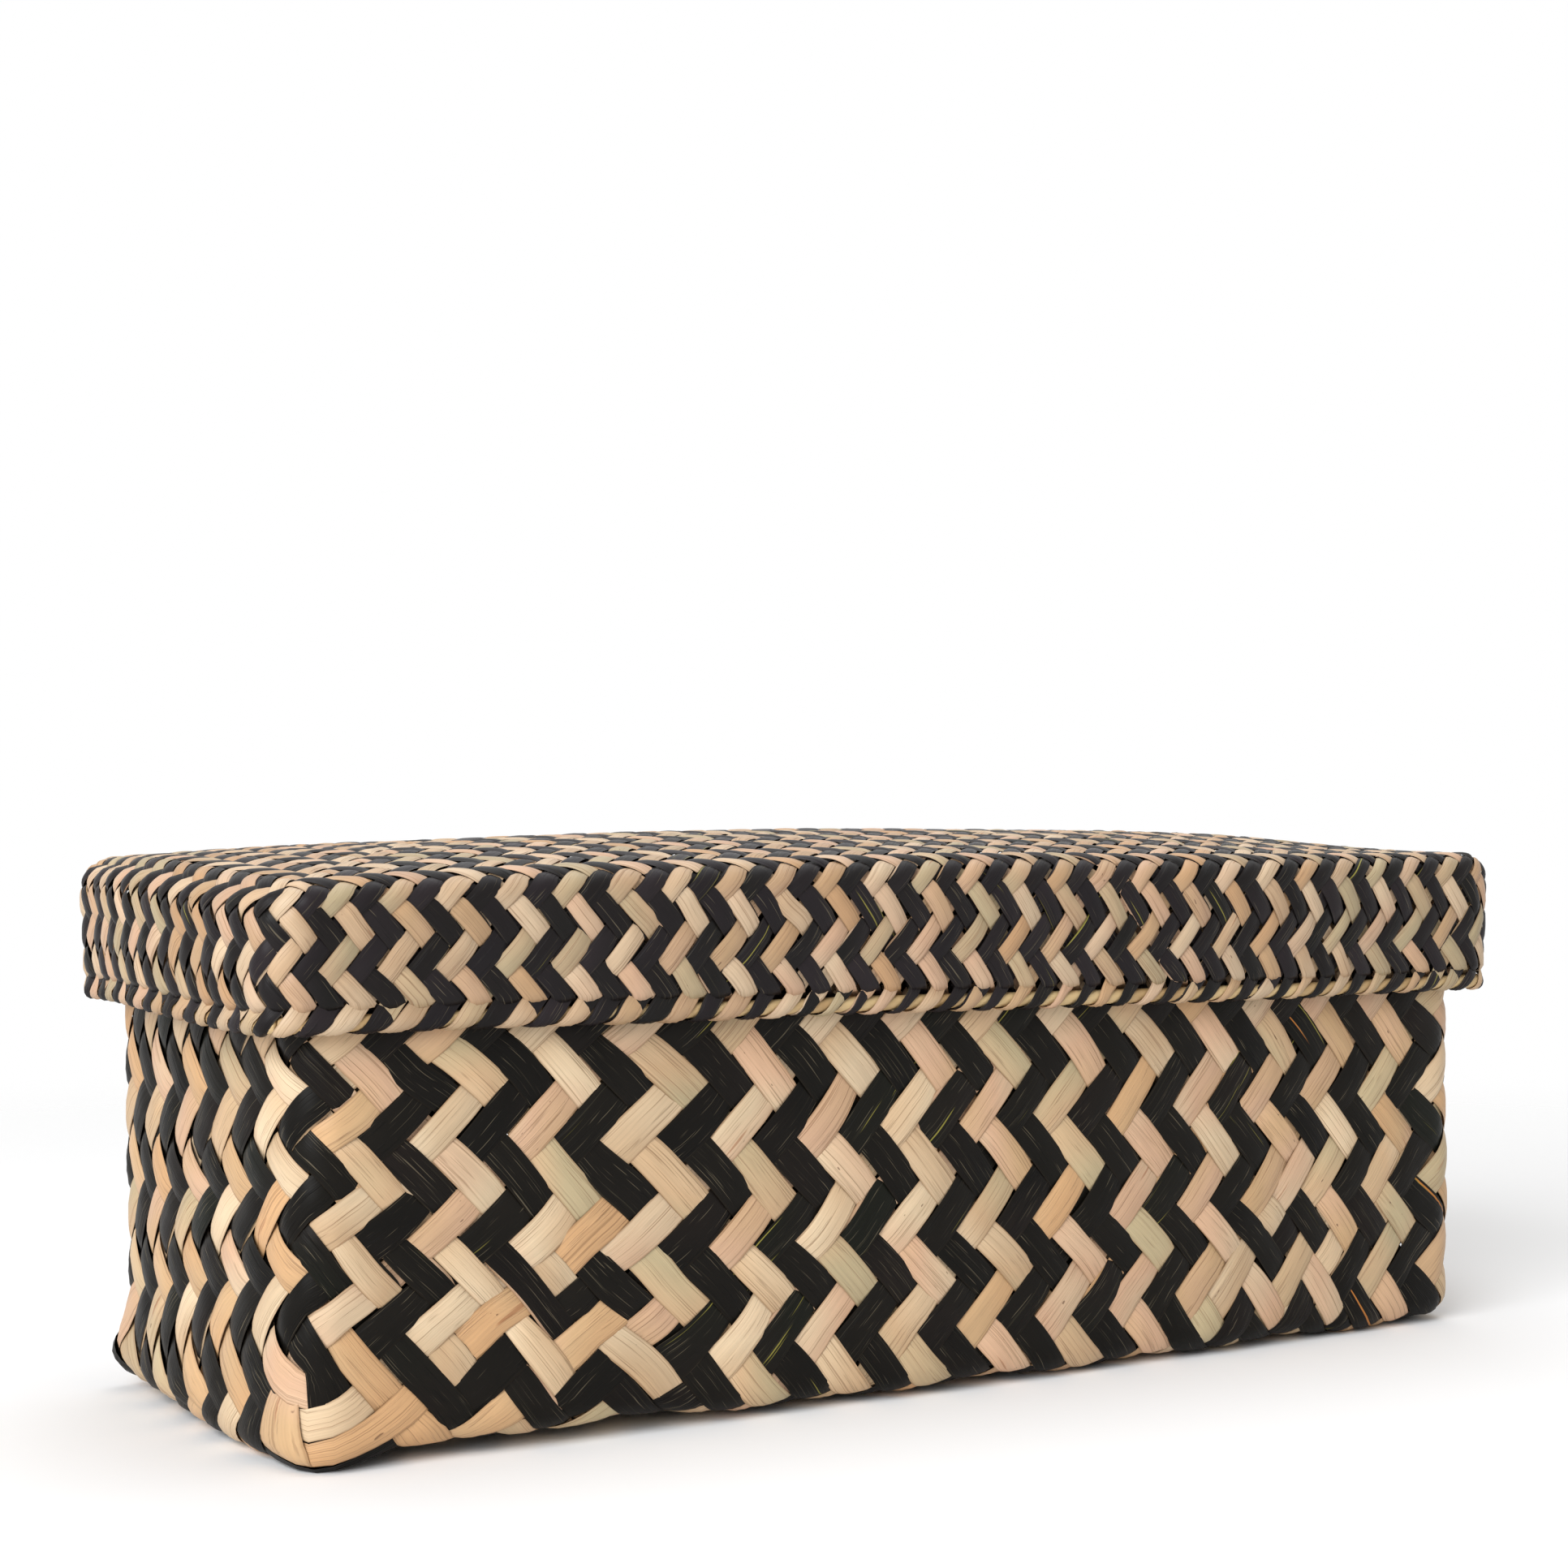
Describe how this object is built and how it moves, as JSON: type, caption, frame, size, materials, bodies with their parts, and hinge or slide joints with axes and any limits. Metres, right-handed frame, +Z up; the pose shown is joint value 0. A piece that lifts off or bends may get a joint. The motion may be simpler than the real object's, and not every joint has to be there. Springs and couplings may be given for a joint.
{
  "type": "storage box",
  "caption": "Long rectangular lidded box plaited from flat leaf strips in dark and natural zigzag columns, with a deep lift-off lid whose strip ends fold over a cane rim.",
  "frame": {"origin": "on the floor, under the middle of the box's outer size", "axes": "+X along the box's length, +Y to the back, with the front facing -Y, +Z up"},
  "size_m": [0.409, 0.155, 0.1531],
  "materials": {
    "natural_leaf": "dry split leaf strips, natural tan",
    "dark_leaf": "dry split leaf strips, dyed near-black",
    "cane": "pale peeled cane rod"
  },
  "bodies": {
    "basket": {"basket_floor": "natural_leaf", "basket_front_plait": "natural_leaf", "basket_front_rim_rod": "cane", "basket_front_hem": "dark_leaf", "basket_right_plait": "natural_leaf", "basket_right_rim_rod": "cane", "basket_right_hem": "dark_leaf", "basket_back_plait": "natural_leaf", "basket_back_rim_rod": "cane", "basket_back_hem": "dark_leaf", "basket_left_plait": "natural_leaf", "basket_left_rim_rod": "cane", "basket_left_hem": "dark_leaf"},
    "lid": {"lid_top_plait": "natural_leaf", "lid_front_plait": "natural_leaf", "lid_front_rim_rod": "cane", "lid_right_plait": "natural_leaf", "lid_right_rim_rod": "cane", "lid_back_plait": "natural_leaf", "lid_back_rim_rod": "cane", "lid_left_plait": "natural_leaf", "lid_left_rim_rod": "cane"}
  },
  "joints": [
    {"name": "lid_lift", "type": "slide", "parent": "basket", "child": "lid", "axis": [0, 0, 1], "range_m": [0, 0.15]}
  ]
}
